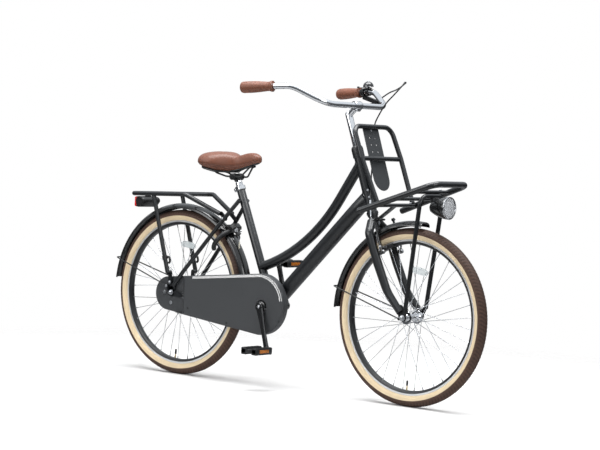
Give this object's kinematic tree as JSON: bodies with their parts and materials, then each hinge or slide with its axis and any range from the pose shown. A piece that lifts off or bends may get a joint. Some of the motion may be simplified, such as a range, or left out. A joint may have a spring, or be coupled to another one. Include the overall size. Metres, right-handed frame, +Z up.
{
  "type": "step-through city bicycle",
  "caption": "Step-through city bicycle with curved top tube, closed chain case, front and rear carriers, mudguards, swept handlebar, ring lock and kickstand.",
  "frame": {"origin": "on the ground, midway between the rearmost and the foremost point, in the bicycle's middle plane", "axes": "+X forward, +Y towards the rider's left, +Z up; both wheels stand on Z = 0"},
  "size_m": [1.8038, 0.6208, 1.1882],
  "materials": {
    "frame_paint": "satin black paint",
    "chrome": "bright chrome",
    "case_plastic": "matt charcoal",
    "steel": "zinc-plated",
    "black_plastic": "black, slightly shiny",
    "black_steel": "black powder coat",
    "red_lens": "clear red",
    "clear_lens": "clear, ribbed",
    "leather": "brown, soft sheen",
    "tyre_rubber": "brown tread with cream sidewalls",
    "rim_black": "black with bright side tracks",
    "hub_and_spoke_steel": "bright"
  },
  "bodies": {
    "frame": {"head_tube": "frame_paint", "top_tube": "frame_paint", "down_tube": "frame_paint", "seat_tube": "frame_paint", "bottom_bracket_shell": "frame_paint", "chain_stays": "frame_paint", "seat_stays": "frame_paint", "seat_clamp": "chrome", "chain_case": "case_plastic", "chain": "steel", "rear_mudguard": "black_plastic", "rear_mudguard_stay": "black_steel", "rear_carrier": "frame_paint", "rear_light_housing": "black_plastic", "rear_light_lens": "red_lens", "ring_lock_case": "black_plastic", "kickstand_bracket": "black_steel", "coaster_arm": "black_steel", "rear_axle": "steel"},
    "lock_shackle": {"lock_shackle": "steel"},
    "kickstand": {"kickstand_leg": "black_steel"},
    "seat": {"seat_post": "chrome", "saddle_clamp": "black_steel", "saddle_rails": "black_steel", "saddle_base": "black_plastic", "saddle_cover": "leather"},
    "steering": {"fork": "frame_paint", "stem": "chrome", "handlebar": "chrome", "grip_right": "leather", "grip_left": "leather", "bell_body": "black_steel", "brake_lever_bracket": "black_plastic", "brake_cable": "black_plastic", "front_mudguard": "black_plastic", "front_mudguard_stay": "black_steel", "carrier_platform": "frame_paint", "carrier_back_frame": "frame_paint", "carrier_stay": "frame_paint", "carrier_strip": "black_plastic", "headlight_body": "black_plastic", "headlight_lens": "clear_lens", "headlight_bracket": "black_steel", "front_axle": "steel"},
    "bell_lever": {"bell_lever": "black_plastic"},
    "brake_lever": {"brake_lever": "black_steel"},
    "brake_arm_right": {"brake_arm_right": "black_steel"},
    "brake_arm_left": {"brake_arm_left": "black_steel"},
    "front_wheel": {"front_tyre": "tyre_rubber", "front_rim": "rim_black", "front_hub": "hub_and_spoke_steel"},
    "rear_wheel": {"rear_tyre": "tyre_rubber", "rear_rim": "rim_black", "rear_hub": "hub_and_spoke_steel"},
    "sprocket": {"rear_sprocket": "steel"},
    "crank": {"crank_axle": "steel", "crank_right": "black_steel", "crank_left": "black_steel"},
    "pedal_right": {"pedal_right": "black_plastic"},
    "pedal_left": {"pedal_left": "black_plastic"}
  },
  "joints": [
    {"name": "steering_turn", "type": "hinge", "parent": "frame", "child": "steering", "pos_m": [0.51621, 0, 0.30495], "axis": [-0.342, 0, 0.9397], "range_deg": [-45, 45]},
    {"name": "front_wheel_spin", "type": "hinge", "parent": "steering", "child": "front_wheel", "pos_m": [0.57541, 0, 0.3265], "axis": [0, 1, 0], "continuous": true},
    {"name": "rear_wheel_spin", "type": "hinge", "parent": "frame", "child": "rear_wheel", "pos_m": [-0.55159, 0, 0.3265], "axis": [0, 1, 0], "continuous": true},
    {"name": "crank_turn", "type": "hinge", "parent": "frame", "child": "crank", "pos_m": [-0.08159, 0, 0.31], "axis": [0, 1, 0], "continuous": true},
    {"name": "pedal_right_spin", "type": "hinge", "parent": "crank", "child": "pedal_right", "pos_m": [-0.02413, -0.153, 0.15213], "axis": [0, 1, 0], "continuous": true},
    {"name": "pedal_left_spin", "type": "hinge", "parent": "crank", "child": "pedal_left", "pos_m": [-0.13905, 0.153, 0.46787], "axis": [0, 1, 0], "continuous": true},
    {"name": "sprocket_spin", "type": "hinge", "parent": "frame", "child": "sprocket", "pos_m": [-0.55159, 0, 0.3265], "axis": [0, 1, 0], "continuous": true},
    {"name": "brake_lever_pull", "type": "hinge", "parent": "steering", "child": "brake_lever", "pos_m": [0.18807, 0.2455, 1.1071], "axis": [0.22, 0.9735, 0.063], "range_deg": [0, 16], "stiffness_Nm_per_rad": 1.5, "springref_deg": -5.73},
    {"name": "brake_arm_left_swing", "type": "hinge", "parent": "steering", "child": "brake_arm_left", "pos_m": [0.47034, 0.057, 0.55962], "axis": [0.9397, 0, 0.342], "range_deg": [0, 5]},
    {"name": "brake_arm_right_swing", "type": "hinge", "parent": "steering", "child": "brake_arm_right", "pos_m": [0.47034, -0.057, 0.55962], "axis": [-0.9397, 0, -0.342], "range_deg": [0, 5]},
    {"name": "bell_lever_ring", "type": "hinge", "parent": "steering", "child": "bell_lever", "pos_m": [0.13591, 0.2562, 1.14749], "axis": [-0.0647, -0.0499, 0.9967], "range_deg": [0, 20], "stiffness_Nm_per_rad": 0.1, "springref_deg": -5.73},
    {"name": "lock_shackle_close", "type": "hinge", "parent": "frame", "child": "lock_shackle", "pos_m": [-0.33353, 0, 0.54428], "axis": [-0.766, 0, 0.6428], "range_deg": [0, 92], "stiffness_Nm_per_rad": 0.1, "springref_deg": -17.19},
    {"name": "kickstand_swing", "type": "hinge", "parent": "frame", "child": "kickstand", "pos_m": [-0.22159, 0.058, 0.28643], "axis": [0, -0.9455, -0.3256], "range_deg": [0, 76]},
    {"name": "seat_height", "type": "slide", "parent": "frame", "child": "seat", "axis": [-0.3923, 0, 0.9198], "range_m": [-0.02, 0.05]}
  ],
  "couplings": [
    {"joint": "sprocket_spin", "follows": "crank_turn", "ratio": 2},
    {"joint": "brake_arm_left_swing", "follows": "brake_lever_pull", "ratio": 0.3125},
    {"joint": "brake_arm_right_swing", "follows": "brake_lever_pull", "ratio": 0.3125}
  ]
}
